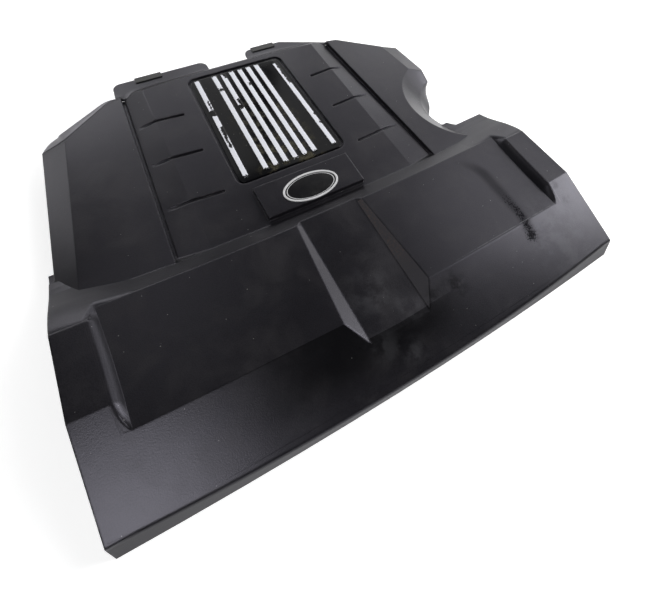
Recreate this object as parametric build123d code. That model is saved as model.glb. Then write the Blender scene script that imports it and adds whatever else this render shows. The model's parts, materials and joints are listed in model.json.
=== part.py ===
from build123d import *

import os
from math import atan2, degrees, radians, tan

# Engine cover: a moulded shell with a stripe panel, an oval badge, two edge clips and four rubber grommets.
# Millimetres. X runs across, Y from the front lip to the rear, Z up. Stations are measured back from the
# middle of the front edge and heights up from the lip's foot. save() moves every node into the shared frame.
# Pairs of values belong to the deck's front and rear stations.

# Overall sizes of the moulding
WIDTH = 680.0
WALL = 3.0
BOW_RADIUS = 6000.0
SIDE_DRAFT = 6.0
SIDE_TAPER = 12.0
SKIRT_FOOT = 14.0
RIM_RISE = (60.0, 300.0)

# Hood, read along its middle line
LIP_HEIGHT = 30.0
LIP_SET_BACK = 8.0
APRON_ANGLE = 19.4
MARGIN_HEIGHT = 67.5
HOOD_HEIGHT = 57.5
CREST_STATION = 207.0
BAND_ANGLE = 30.0
HEEL_TOP = 44.0
HEEL_FOOT = 25.0
HEEL_STATION = 304.0
RECESS_MARGIN = 54.0
RECESS_WALL_ANGLE = 62.0
HOOD_ROUND = 4.5
LIP_ROUND = 4.0

# Channel down the middle of the hood: floor points as station and height
CHANNEL_HALF = 41.0
CHANNEL_FLANK_ANGLE = 29.0
CHANNEL_REAR = (224.0, 54.0)
CHANNEL_FRONT = (59.0, 46.5)

# Deck
DECK_FRONT = 253.0
DECK_REAR = 550.0
DECK_CROWN = 8.0
PLATEAU_HALF = (149.0, 141.0)
PLATEAU_HEIGHT = (43.5, 52.0)
GROOVE_HALF = (191.0, 171.5)
GROOVE_FLOOR = 38.0
GROOVE_WIDTH = 4.0
GROOVE_LIP = 2.0
WING_HEIGHT = (44.0, 46.0)
STRIP_WIDTH = (28.0, 35.0)
STRIP_HEIGHT = 41.0
EDGE_INSET = (13.0, 51.0)
EDGE_HEIGHT = 28.0
EDGE_DRAFT = 2.0
CORNER_INSETS = ((148.0, 1.0), (78.0, 46.0), (40.0, 45.0))
REAR_BEVEL = 6.0
REAR_BEVEL_ANGLE = 33.0

# Round notch in the right wing
NOTCH_INSET = 14.0
NOTCH_STATION = 347.0
NOTCH_RADIUS = 69.0
NOTCH_FOOT = 17.0
NOTCH_ANGLE = 35.5
NOTCH_TIP_ROUND = 7.0

# Slots on both sides of the panel
SLOT_STATIONS = (324.0, 402.0, 476.0)
SLOT_INNER_HALF = 105.0
SLOT_WIDTH = 4.5
SLOT_DEPTH = 3.6
SLOT_SWEEP = 5.0
SLOT_RUN_OUT = 6.0

# Stripe panel and its pocket
PANEL_STATIONS = (326.0, 538.0)
PANEL_HALF = (80.0, 74.0)
PANEL_CORNER = 9.0
PANEL_THICKNESS = 2.5
PANEL_TROUGH = 3.5
PANEL_SINK = 1.2
STRIPE_COUNT = 6
STRIPE_FIRST_SHARE = -0.565
STRIPE_PITCH_SHARE = 0.22
STRIPE_HALF_SPAN = (69.0, 63.5)
STRIPE_WIDTH = 7.6
STRIPE_RISE = 0.8
STRIPE_MARGINS = (8.0, 3.0)
PIN_RADIUS = 3.0
PIN_LENGTH = 6.0
PIN_INSET = 14.0
PIN_CLEARANCE = 0.15

# Pedestal and badge
PEDESTAL_STATIONS = (255.0, 307.0)
PEDESTAL_HALF = 71.0
PEDESTAL_RISE = 7.0
BADGE_STATION = 277.0
BADGE_LENGTH = 80.0
BADGE_DEPTH = 43.0
BADGE_THICKNESS = 2.4
BADGE_SINK = 1.2
BADGE_CLEARANCE = 0.2
BADGE_RIM = 2.6
BADGE_FIELD_DROP = 0.7

# Rear tabs and edge clips
TAB_SPAN = (33.0, 181.0)
TAB_DEPTH = 36.0
TAB_TOP = 42.0
TAB_THICKNESS = 3.0
TAB_CORNER = 12.0
TAB_SHOULDERS = (4.0, 82.0)
TAB_SLIT = (-134.0, 16.0, 30.0, 3.0)
CLIP_CENTRES = {"clip_left": -124.0, "clip_right": 67.0}
CLIP_LENGTH = 40.0
CLIP_REACH = 9.0
CLIP_GAUGE = 1.5
CLIP_CLEARANCE = 0.1

# Mounting bosses, as station and foot height, and the rubber grommets in them
BOSS_INSETS = {"front": 108.0, "rear": 220.0}
BOSS_PLACES = {"front": (150.0, 12.0), "rear": (470.0, 3.0)}
BOSS_RADIUS = 16.0
GROMMET_RADIUS = 12.0
GROMMET_CLEARANCE = 0.1
GROMMET_FLANGE_RADIUS = 15.0
GROMMET_FLANGE_HEIGHT = 3.0
GROMMET_LENGTH = 15.0
STUD_RADIUS = 5.0
STUD_CLEARANCE = 0.2
STUD_DEPTH = 12.0

# Ribs under the shell
RIB_THICKNESS = 2.2
RIB_HEIGHT = 9.0
RIB_STATIONS = (150.0, 316.0)

# Lengths that only reach past the work
REACH = 100.0
BELOW = 20.0

UPRIGHT = (Align.CENTER, Align.CENTER, Align.MIN)
HANGING = (Align.CENTER, Align.CENTER, Align.MAX)
RECESS_HALF = WIDTH / 2 - RECESS_MARGIN
EDGE_HALF = tuple(WIDTH / 2 - inset for inset in EDGE_INSET)
STRIP_HALF = tuple(edge - width for edge, width in zip(EDGE_HALF, STRIP_WIDTH))
CORNER_PLAN = [(WIDTH / 2 - inset, DECK_REAR - back) for inset, back in CORNER_INSETS]
NOTCH_CENTRE = (WIDTH / 2 - NOTCH_INSET, NOTCH_STATION)
STRIPE_SHARES = [-1, *(STRIPE_FIRST_SHARE + STRIPE_PITCH_SHARE * k for k in range(STRIPE_COUNT)), 1]
BOSSES = {
    f"grommet_{row}_{hand}": (side * (WIDTH / 2 - inset), *BOSS_PLACES[row])
    for row, inset in BOSS_INSETS.items()
    for hand, side in (("left", -1), ("right", 1))
}
REAR_EDGE = DECK_REAR + DECK_CROWN
TAB_REAR = DECK_REAR + TAB_DEPTH
ORIGIN_STATION = (TAB_REAR + CLIP_CLEARANCE + CLIP_GAUGE) / 2
BOW_AXIS = Axis((0, BOW_RADIUS, 0), (0, 0, 1))
BOW_SPAN = 8.0
DECK_TILT = degrees(atan2(PLATEAU_HEIGHT[1] - PLATEAU_HEIGHT[0], DECK_REAR - DECK_FRONT))


def along(pair, station):
    """Value of a front and rear pair at a station of the deck."""
    share = (station - DECK_FRONT) / (DECK_REAR - DECK_FRONT)
    return pair[0] + (pair[1] - pair[0]) * share


def on_deck(station):
    """Place on the plateau's middle line, tilted with the plateau."""
    return Pos(0, station, along(PLATEAU_HEIGHT, station)) * Rot(X=DECK_TILT)


def outline(points):
    """Face inside a closed run of straight lines."""
    return make_face(Polyline(*points, close=True))


def deck_section(station, wall, foot):
    """Cross-section of the deck, or of the hollow under it when a wall is given."""
    groove = along(GROOVE_HALF, station)
    half = GROOVE_WIDTH / 2
    floor = GROOVE_FLOOR - wall
    wing = along(WING_HEIGHT, station) - wall
    edge = along(EDGE_HALF, station) - wall
    right = [(along(PLATEAU_HALF, station), along(PLATEAU_HEIGHT, station) - wall)]
    if wall:
        right += [(groove - half - wall, floor)]
    else:
        right += [(groove - half, floor + GROOVE_LIP), (groove - half, floor)]
    right += [(groove + half + wall, floor), (groove + half + wall, wing)]
    right += [(along(STRIP_HALF, station) - wall / 4, STRIP_HEIGHT - wall)]
    right += [(edge, EDGE_HEIGHT - wall), (edge + EDGE_DRAFT, foot)]
    left = [(-x, z) for x, z in reversed(right)]
    return outline([(x, station, z) for x, z in right + left])


def deck_solid(wall, foot):
    """Deck behind the crest, trimmed to the cut corners and the crowned rear edge."""
    ends = [deck_section(station, wall, foot) for station in (CREST_STATION, REAR_EDGE + REACH)]
    body = loft(ends, ruled=True)
    inner, outer, side = CORNER_PLAN
    right = [inner, outer, side, (WIDTH, side[1]), (WIDTH, 0)]
    left = [(-x, y) for x, y in reversed(right)]
    crown = ThreePointArc(left[-1], (0, REAR_EDGE), right[0])
    plan = make_face([crown, Polyline(*right, *left)])
    if wall:
        plan = offset(plan, -wall, kind=Kind.INTERSECTION)
    return body & Pos(0, 0, foot) * extrude(plan, REACH + BELOW)


def rear_bevel(drop):
    """Ring above the sloping rear end of the plateau, turned about the crown's own centre."""
    across, station = CORNER_PLAN[0]
    rise = REAR_EDGE - station
    centre = REAR_EDGE - (across**2 + rise**2) / (2 * rise)
    start, end = REAR_EDGE - REAR_BEVEL, REAR_EDGE + REAR_BEVEL
    high = along(PLATEAU_HEIGHT, start) - drop
    low = high - (end - start) * tan(radians(REAR_BEVEL_ANGLE))
    profile = Plane.YZ * outline([(start, high), (end, low), (end, REACH), (start, REACH)])
    axis = Axis((0, centre, 0), (0, 0, 1))
    span = 2 * degrees(atan2(across, station - centre))
    return revolve(profile, axis, span).rotate(axis, -span / 2)


def side_section(station, wall, foot):
    """Upright section between the hood's drafted sides, which close in towards the rear."""
    low = WIDTH / 2 - wall - SIDE_TAPER * station / HEEL_STATION
    high = low - SIDE_DRAFT
    ends = [(-low, foot), (low, foot), (high, REACH), (-high, REACH)]
    return outline([(x, station, z) for x, z in ends])


def hood_solid(wall, foot):
    """Hood: one side profile turned about a far upright axis and trimmed to the width."""
    fold = LIP_SET_BACK + (MARGIN_HEIGHT - LIP_HEIGHT) / tan(radians(APRON_ANGLE))
    fall = tan(radians(BAND_ANGLE))
    bend = (CREST_STATION + (MARGIN_HEIGHT - HEEL_TOP) / fall, HEEL_TOP)
    heel = (HEEL_STATION, HEEL_FOOT)
    toe = (LIP_SET_BACK * foot / LIP_HEIGHT, foot)
    top = [(LIP_SET_BACK, LIP_HEIGHT), (fold, MARGIN_HEIGHT), (CREST_STATION, MARGIN_HEIGHT), bend]
    flare = TangentArc(bend, heel, tangent=(1, -fall))
    profile = Plane.YZ * make_face([Polyline(heel, (HEEL_STATION, foot), toe, *top), flare])
    if wall:
        profile = offset(profile, -wall, kind=Kind.INTERSECTION)
    body = revolve(profile, BOW_AXIS, BOW_SPAN).rotate(BOW_AXIS, -BOW_SPAN / 2)
    ends = [side_section(station, wall, foot) for station in (-HEEL_STATION, 2 * HEEL_STATION)]
    return body & loft(ends, ruled=True)


def recess_cut(drop):
    """Room above the hood's broad recess, with sloping end walls."""
    floor = HOOD_HEIGHT - drop
    spread = (REACH - floor) / tan(radians(RECESS_WALL_ANGLE))
    ends = [(-RECESS_HALF, 0, floor), (RECESS_HALF, 0, floor)]
    ends += [(RECESS_HALF + spread, 0, REACH), (-RECESS_HALF - spread, 0, REACH)]
    return extrude(outline(ends), DECK_FRONT, dir=(0, 1, 0))


def channel_cut(drop):
    """Channel whose flat floor runs from the crest to the apron, with sloping flanks."""
    slope = (CHANNEL_REAR[1] - CHANNEL_FRONT[1]) / (CHANNEL_REAR[0] - CHANNEL_FRONT[0])
    start = CHANNEL_REAR[1] - slope * CHANNEL_REAR[0] - drop
    spread = REACH / tan(radians(CHANNEL_FLANK_ANGLE))
    ends = [(-CHANNEL_HALF, 0, start), (CHANNEL_HALF, 0, start)]
    ends += [(CHANNEL_HALF + spread, 0, start + REACH), (-CHANNEL_HALF - spread, 0, start + REACH)]
    return extrude(outline(ends), DECK_FRONT, dir=(0, 1, slope))


def notch_bore(grow):
    """Upright round wall of the notch."""
    return Pos(*NOTCH_CENTRE, -BELOW) * Cylinder(NOTCH_RADIUS + grow, REACH + BELOW, align=UPRIGHT)


def notch_ring(grow):
    """Funnel above the notch's wall, which slopes the deck down to it."""
    radius = NOTCH_RADIUS + grow
    spread = (REACH - NOTCH_FOOT) / tan(radians(NOTCH_ANGLE))
    low, high = NOTCH_FOOT - grow / 2, REACH - grow / 2
    points = [(0, low), (radius, low), (radius + spread, high), (0, high)]
    return Pos(*NOTCH_CENTRE) * revolve(Plane.XZ * outline(points), Axis.Z)


def notch_skirt():
    """Round wall that hangs from the funnel's foot to the level of the lip's foot, between the side walls."""
    outer = Cylinder(NOTCH_RADIUS + WALL, NOTCH_FOOT, align=UPRIGHT)
    inner = Cylinder(NOTCH_RADIUS, NOTCH_FOOT, align=UPRIGHT)
    return Pos(*NOTCH_CENTRE, 0) * (outer - inner) & deck_solid(WALL, 0)


def round_tip(deck):
    """Round the edges where the notch's wall and funnel run out through the deck's side, behind the notch."""
    start = NOTCH_STATION + NOTCH_RADIUS / 2
    tip = deck.edges().filter_by_position(Axis.X, NOTCH_CENTRE[0] - NOTCH_RADIUS / 2, WIDTH / 2)
    tip = tip.filter_by_position(Axis.Y, start, start + NOTCH_RADIUS)
    tip = tip.filter_by_position(Axis.Z, SKIRT_FOOT, EDGE_HEIGHT, (False, False))
    return fillet(tip, NOTCH_TIP_ROUND)


def slot_cut(station, grow):
    """Slot from its round inner end down the sloping strip, running out before the groove."""
    top = along(PLATEAU_HEIGHT, station)
    bend = along(PLATEAU_HALF, station)
    toe = along(GROOVE_HALF, station) - GROOVE_WIDTH / 2
    fall = (top - GROOVE_FLOOR - GROOVE_LIP) / (toe - bend)
    end = toe - SLOT_RUN_OUT
    floor = top - SLOT_DEPTH - grow
    points = [(SLOT_INNER_HALF, 0, REACH), (SLOT_INNER_HALF, 0, floor), (bend, 0, floor)]
    points += [(end, 0, top - fall * (end - bend) - grow), (end, 0, REACH)]
    width = SLOT_WIDTH + 2 * grow
    trench = Pos(0, -width / 2, 0) * extrude(outline(points), width, dir=(0, 1, 0))
    round_end = Pos(SLOT_INNER_HALF, 0, floor) * Cylinder(width / 2, REACH, align=UPRIGHT)
    pivot = Axis((SLOT_INNER_HALF, 0, 0), (0, 0, 1))
    return Pos(0, station, 0) * (trench + round_end).rotate(pivot, SLOT_SWEEP)


def panel_plan(grow):
    """Rounded, slightly tapering outline of the panel, drawn on the plateau at its front station."""
    front, rear = PANEL_HALF[0] + grow, PANEL_HALF[1] + grow
    length = PANEL_STATIONS[1] - PANEL_STATIONS[0]
    face = outline([(-front, -grow), (front, -grow), (rear, length + grow), (-rear, length + grow)])
    return fillet(face.vertices(), PANEL_CORNER + grow)


def panel_seat():
    """Place of the panel's foot on the pocket's floor."""
    return on_deck(PANEL_STATIONS[0]) * Pos(0, 0, -PANEL_SINK - PANEL_THICKNESS)


def panel_pins(radius, length):
    """Four upright pins under the panel's corners, ending level with its foot."""
    rows = PANEL_STATIONS[1] - PANEL_STATIONS[0] - 2 * PIN_INSET
    spots = GridLocations(2 * (PANEL_HALF[1] - PIN_INSET), rows, 2, 2)
    middle = Pos(0, rows / 2 + PIN_INSET, 0)
    return [panel_seat() * middle * spot * Cylinder(radius, length, align=HANGING) for spot in spots]


def pedestal(wall):
    """Block in front of the panel, or the hollow in it when a wall is given."""
    length = PEDESTAL_STATIONS[1] - PEDESTAL_STATIONS[0] - 2 * wall
    middle = sum(PEDESTAL_STATIONS) / 2
    block = Box(2 * (PEDESTAL_HALF - wall), length, PEDESTAL_RISE + WALL, align=HANGING)
    return on_deck(middle) * Pos(0, 0, PEDESTAL_RISE - wall) * block


def badge_plate(grow, height):
    """Upright oval slab with its foot on the seat in the pedestal."""
    oval = Ellipse(BADGE_LENGTH / 2 + grow, BADGE_DEPTH / 2 + grow)
    return on_deck(BADGE_STATION) * Pos(0, 0, PEDESTAL_RISE - BADGE_SINK) * extrude(oval, height)


def tab(side, shoulder):
    """Flange behind the rear edge, with rounded free corners and a slanting outer end."""
    start, end = TAB_SPAN
    plan = outline([(start, DECK_REAR), (end, DECK_REAR), (end - shoulder, TAB_REAR), (start, TAB_REAR)])
    free = plan.vertices().group_by(Axis.Y)[-1]
    plate = Pos(0, 0, TAB_TOP) * extrude(fillet(free, TAB_CORNER), -TAB_THICKNESS)
    return plate if side > 0 else mirror(plate, Plane.YZ)


def tab_slit():
    """Thin slit near the root of the left tab."""
    across, behind, length, width = TAB_SLIT
    return Pos(across, DECK_REAR + behind, 0) * extrude(SlotOverall(length, width), REACH)


def boss(place):
    """Outside of one mounting boss, standing on its foot."""
    return Pos(*place) * Cylinder(BOSS_RADIUS, REACH, align=UPRIGHT)


def boss_bore(place):
    """Bore of a boss: the grommet's seat, run up to the underside."""
    return Pos(*place) * Cylinder(GROMMET_RADIUS + GROMMET_CLEARANCE, REACH, align=UPRIGHT)


def ribs(hollow):
    """Upright ribs that follow the underside at a constant height."""
    lengthwise = Box(RIB_THICKNESS, 4 * REAR_EDGE, REACH, align=UPRIGHT)
    crosswise = Box(2 * WIDTH, RIB_THICKNESS, REACH, align=UPRIGHT)
    walls = [Pos(x, 0, SKIRT_FOOT) * lengthwise for x in sorted({place[0] for place in BOSSES.values()})]
    walls += [Pos(0, y, SKIRT_FOOT) * crosswise for y in RIB_STATIONS]
    skin = hollow - Pos(0, 0, -RIB_HEIGHT) * hollow
    return [wall & skin for wall in walls]


def rim_cut():
    """Wedge below the side walls, which rise from the lip's foot to the skirt's foot."""
    start, end = RIM_RISE
    past = end + REACH
    points = [(start, 0), (end, SKIRT_FOOT), (past, SKIRT_FOOT), (past, -BELOW), (start, -BELOW)]
    return Pos(-WIDTH, 0, 0) * extrude(Plane.YZ * outline(points), 2 * WIDTH, dir=(1, 0, 0))


def round_hood(body):
    """Soften the fold, the crest, the recess and the channel, then the lip, and leave the sides crisp."""
    inside = WIDTH / 2 - SIDE_DRAFT - SIDE_TAPER
    shoulder = body.edges().filter_by(lambda edge: edge.length > 3 * HOOD_ROUND)
    shoulder = shoulder.filter_by_position(Axis.X, -inside, inside)
    shoulder = shoulder.filter_by_position(Axis.Z, CHANNEL_FRONT[1], MARGIN_HEIGHT + HOOD_ROUND)
    shoulder = shoulder.filter_by_position(Axis.Y, CHANNEL_FRONT[0], CREST_STATION + 3 * HOOD_ROUND)
    body = fillet(shoulder, HOOD_ROUND)
    lip = body.edges().filter_by_position(Axis.Z, LIP_HEIGHT - LIP_ROUND, LIP_HEIGHT + LIP_ROUND)
    return fillet(lip.sort_by(SortBy.LENGTH)[-1], LIP_ROUND)


def cover_shell():
    """The moulding: outside less hollow, where each cut in the outside keeps a wall below it."""
    outside = hood_solid(0, 0) + round_tip(deck_solid(0, SKIRT_FOOT) - [notch_ring(0), notch_bore(0)])
    hollow = hood_solid(WALL, -BELOW) + (deck_solid(WALL, -BELOW) - notch_ring(WALL))
    outside = round_hood(outside - [recess_cut(0), channel_cut(0)])
    hollow -= [recess_cut(WALL), channel_cut(WALL), notch_bore(WALL), rear_bevel(WALL)]
    outside -= [notch_bore(0), rim_cut(), rear_bevel(0)]
    outside += notch_skirt()
    outside += [tab(-1, TAB_SHOULDERS[0]), tab(1, TAB_SHOULDERS[1]), pedestal(0)]
    hollow += pedestal(WALL)
    for station in SLOT_STATIONS:
        slot, slot_wall = slot_cut(station, 0), slot_cut(station, WALL)
        outside -= [slot, mirror(slot, Plane.YZ)]
        hollow -= [slot_wall, mirror(slot_wall, Plane.YZ)]
    outside -= panel_seat() * extrude(panel_plan(PANEL_TROUGH), REACH)
    hollow -= panel_seat() * Pos(0, 0, -WALL) * extrude(panel_plan(PANEL_TROUGH + WALL), REACH)
    outside -= badge_plate(BADGE_CLEARANCE, REACH)
    outside -= tab_slit()
    shell = outside - hollow
    shell += [boss(place) & hollow for place in BOSSES.values()]
    shell += ribs(hollow)
    shell -= [boss_bore(place) & hollow for place in BOSSES.values()]
    return shell - panel_pins(PIN_RADIUS + PIN_CLEARANCE, REACH)


def stripe_panel():
    """Insert plate with raised stripes that fan with its sides, and pins below."""
    length = PANEL_STATIONS[1] - PANEL_STATIONS[0]
    plate = extrude(panel_plan(0), PANEL_THICKNESS)
    for share in STRIPE_SHARES:
        front, rear = share * STRIPE_HALF_SPAN[0], share * STRIPE_HALF_SPAN[1]
        half = STRIPE_WIDTH / 2
        start, end = STRIPE_MARGINS[0], length - STRIPE_MARGINS[1]
        foot = [(front - half, start), (front + half, start)]
        head = [(rear + half, end), (rear - half, end)]
        plate += extrude(outline(foot + head), PANEL_THICKNESS + STRIPE_RISE)
    return panel_seat() * plate + panel_pins(PIN_RADIUS, PIN_LENGTH)


def badge():
    """Oval plate with a raised rim around a plain field."""
    field = Ellipse(BADGE_LENGTH / 2 - BADGE_RIM, BADGE_DEPTH / 2 - BADGE_RIM)
    top = on_deck(BADGE_STATION) * Pos(0, 0, PEDESTAL_RISE - BADGE_SINK + BADGE_THICKNESS)
    return badge_plate(0, BADGE_THICKNESS) - top * extrude(field, -BADGE_FIELD_DROP)


def clip(centre):
    """Spring clip pushed over a tab's rear edge."""
    gap = TAB_THICKNESS + 2 * CLIP_CLEARANCE
    outer = Box(CLIP_LENGTH, CLIP_REACH + CLIP_GAUGE, gap + 2 * CLIP_GAUGE)
    mouth = Pos(0, -CLIP_GAUGE / 2, 0) * Box(CLIP_LENGTH, CLIP_REACH, gap)
    rear = TAB_REAR + CLIP_CLEARANCE + CLIP_GAUGE
    return Pos(centre, rear - (CLIP_REACH + CLIP_GAUGE) / 2, TAB_TOP - TAB_THICKNESS / 2) * (outer - mouth)


def grommet(place):
    """Rubber socket: a flange below the boss, a plug in its seat and a blind bore for the stud."""
    flange = Cylinder(GROMMET_FLANGE_RADIUS, GROMMET_FLANGE_HEIGHT, align=HANGING)
    plug = Cylinder(GROMMET_RADIUS, GROMMET_LENGTH, align=UPRIGHT)
    bore = Cylinder(STUD_RADIUS + STUD_CLEARANCE, STUD_DEPTH, align=UPRIGHT)
    return Pos(*place) * (flange + plug - Pos(0, 0, -GROMMET_FLANGE_HEIGHT) * bore)


def save(node, name):
    """Write one node in the shared frame."""
    export_step(Pos(0, -ORIGIN_STATION, 0) * node, f"parts/{name}.step")


os.makedirs("parts", exist_ok=True)
save(cover_shell(), "cover_shell")
save(stripe_panel(), "stripe_panel")
save(badge(), "badge")
for name, centre in CLIP_CENTRES.items():
    save(clip(centre), name)
for name, place in BOSSES.items():
    save(grommet(place), name)
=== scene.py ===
import json
import math

import bpy
import numpy as np
from mathutils import Matrix, Vector


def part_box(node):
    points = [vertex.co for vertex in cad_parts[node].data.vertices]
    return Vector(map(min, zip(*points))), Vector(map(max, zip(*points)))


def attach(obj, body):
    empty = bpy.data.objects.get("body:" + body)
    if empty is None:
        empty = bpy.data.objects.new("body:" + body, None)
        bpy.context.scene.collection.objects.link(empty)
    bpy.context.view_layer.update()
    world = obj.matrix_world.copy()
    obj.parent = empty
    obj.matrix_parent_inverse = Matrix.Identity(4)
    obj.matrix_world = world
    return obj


# Looks of a moulded engine cover: satin grained shell, gloss stripe panel with worn foil, oval badge,
# edge clips and rubber grommets. Metres, in the part's own frame: X across, Y to the rear, Z up.

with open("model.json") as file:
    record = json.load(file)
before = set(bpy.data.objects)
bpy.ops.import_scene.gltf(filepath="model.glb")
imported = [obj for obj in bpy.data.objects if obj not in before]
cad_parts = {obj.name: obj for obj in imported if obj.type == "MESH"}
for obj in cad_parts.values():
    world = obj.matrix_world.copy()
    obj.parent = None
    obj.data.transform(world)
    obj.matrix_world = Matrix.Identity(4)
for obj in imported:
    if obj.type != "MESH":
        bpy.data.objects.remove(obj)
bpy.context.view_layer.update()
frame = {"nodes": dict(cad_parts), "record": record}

# The photograph's frame, and the place, turn and lens of its camera
IMAGE_WIDTH = 650
IMAGE_HEIGHT = 600
CAMERA_PLACE = Vector((-0.17644, -0.34406, 0.53678))
CAMERA_HEADING = -39.72
CAMERA_DROP = 56.07
CAMERA_ROLL = -10.37
FOCAL_PIXELS = 450.0
OPTICAL_CENTRE = (360.32, 218.24)
SENSOR = 36.0

# How far a fitted sheet stands off the moulding that it lies on
PROUD = 0.00005

# Hood. A station is the distance behind the front foot, which bows back from the middle by the square of
# the distance across, divided by the bow. The sides close in by shares of the station and of the height.
FRONT_FOOT = -0.2938
BOW = 12.0
LIP_STATION = 0.0080
LIP_HEIGHT = 0.0300
APRON_SLOPE = math.tan(math.radians(19.4))
MARGIN_TOP = 0.0675
RECESS_FLOOR = 0.0575
RECESS_EDGE = 0.2942
RECESS_FRONT = 0.0862
RECESS_REAR = 0.2240
CREST = 0.2070
BAND_SLOPE = math.tan(math.radians(30))
BAND_FOOT = 0.2900
SIDE_HALF = 0.3400
SIDE_TAPER = 0.0120 / 0.2930
SIDE_DRAFT = 0.0060 / 0.0964

# Profile of the band behind the crest: straight down to its bend, then flaring out to the deck
BAND_STATIONS = (CREST, 0.2500, 0.2530, 0.2560, 0.2600, 0.2650, 0.2700, 0.2800, BAND_FOOT)
BAND_HEIGHTS = (MARGIN_TOP, 0.0427, 0.0411, 0.0396, 0.0377, 0.0355, 0.0336, 0.0312, 0.0300)

# Round notch in the right wing: centre in plan, radius, and height of its funnel's foot
NOTCH_CENTRE = (0.3260, 0.0532)
NOTCH_RADIUS = 0.0689
NOTCH_FOOT = 0.0172

# Left wing's rear outline from its side corner to just before the groove: places across, their stations,
# the height of the wing's top there, and the width of the rolled edge behind them
WING_ACROSS = (-0.2950, -0.2850, -0.2620, -0.1920, -0.1750)
WING_STATIONS = (0.5050, 0.5047, 0.5040, 0.5490, 0.5506)
WING_TOPS = (0.0280, 0.0319, 0.0408, 0.0449, 0.0459)
ROLL_WIDTHS = (0.0003, 0.0140, 0.0170, 0.0065, 0.0003)

# Rear tabs, and how far the deck's crowned rear edge stands above them. Over the tab's depth, its outer end
# closes in by the shoulder, left and right.
TAB_INNER = 0.0336
TAB_OUTER = 0.1804
TAB_DEPTH = 0.0360
TAB_TOP = 0.0420
TAB_SHOULDERS = (0.0040, 0.0820)
TAB_FILLET_REAR = 0.5740
REAR_EDGE = 0.5575
REAR_CROWN = 0.0090 / 0.1920**2
REAR_STEP_ACROSS = (0.1500, 0.1640, 0.1700, 0.1736, 0.1804)
REAR_STEP = (0.0058, 0.0002, 0.0, 0.0036, 0.0034)

# Stripes on the panel. The first inner stripe's place and the pitch are shares of the stripes' half span,
# and the foil's run is from and to along the panel, 0 at its front and 1 at its rear.
PANEL_FRONT = 0.0322
PANEL_LENGTH = 0.2120
STRIPE_SPAN_FRONT = 0.0690
STRIPE_SPAN_REAR = 0.0635
STRIPE_HALF = 0.0038
STRIPE_FIRST = -0.565
STRIPE_PITCH = 0.22
FOIL_RUN = (0.045, 0.982)

# Places where foil has come off: stripe's share of the half span, from and to along the panel, from and to
# across the stripe (-1 at its left edge, 1 at its right edge)
PEELS = (
    (-1.0, 0.605, 0.668, -1.6, 1.6),
    (-1.0, 0.675, 0.765, 0.05, 0.75),
    (-1.0, 0.415, 0.500, -0.30, 1.6),
    (-1.0, 0.295, 0.430, -0.35, 0.55),
    (-0.565, 0.820, 0.848, -1.6, 1.6),
    (-0.345, 0.935, 1.0, 0.05, 1.6),
    (-0.345, 0.605, 0.705, -0.15, 1.6),
    (-0.345, 0.600, 0.640, -1.6, 0.2),
    (0.095, 0.795, 0.825, 0.25, 1.6),
    (1.0, 0.945, 1.0, -1.6, 1.6),
    (1.0, 0.705, 0.950, 0.05, 1.6),
    (1.0, 0.250, 0.275, 0.45, 1.6),
    (1.0, 0.335, 0.360, 0.55, 1.6),
)

# Marks on the shell, in plan. A soft spot is its centre and its reach.
HAZE_SPOTS = (
    ((-0.007, -0.190), 0.045),
    ((0.020, -0.222), 0.030),
    ((-0.027, -0.250), 0.030),
    ((0.000, -0.268), 0.024),
    ((0.262, -0.232), 0.080),
)
SMUDGE_SPOTS = (
    ((0.086, -0.229), 0.026),
    ((0.053, -0.232), 0.024),
    ((0.304, -0.203), 0.013),
    ((0.300, -0.178), 0.009),
)
STREAK_ACROSS = 0.2265
STREAK_BEND_START = -0.117
STREAK_BEND = -13.0
STREAK_LEAN_START = -0.186
STREAK_LEAN = 0.13
STREAK_BLOT = (0.2222, -0.2205)
STREAK_BLOT_REACH = 0.0200
# Bow and ends of the painted shadow on the apron below the channel's mouth
SHADOW_BOW = 0.03
SHADOW_END_AHEAD = -0.2345
SHADOW_END_BESIDE = -0.2100
FLANK_START = (-0.0422, -0.2348)
FLANK_LEAN = 0.66
FLANK_ALONG = (-0.245, -0.07)
FLANK_ACROSS = (0.03, 0.11)
FOLD_START = (0.062, -0.206)
FOLD_LEAN = 0.032
FOLD_END = 0.284
ROLL_START = (-0.262, 0.2106)
ROLL_LEAN = 0.643
ROLL_LIMITS = (0.2110, 0.2566)


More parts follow.
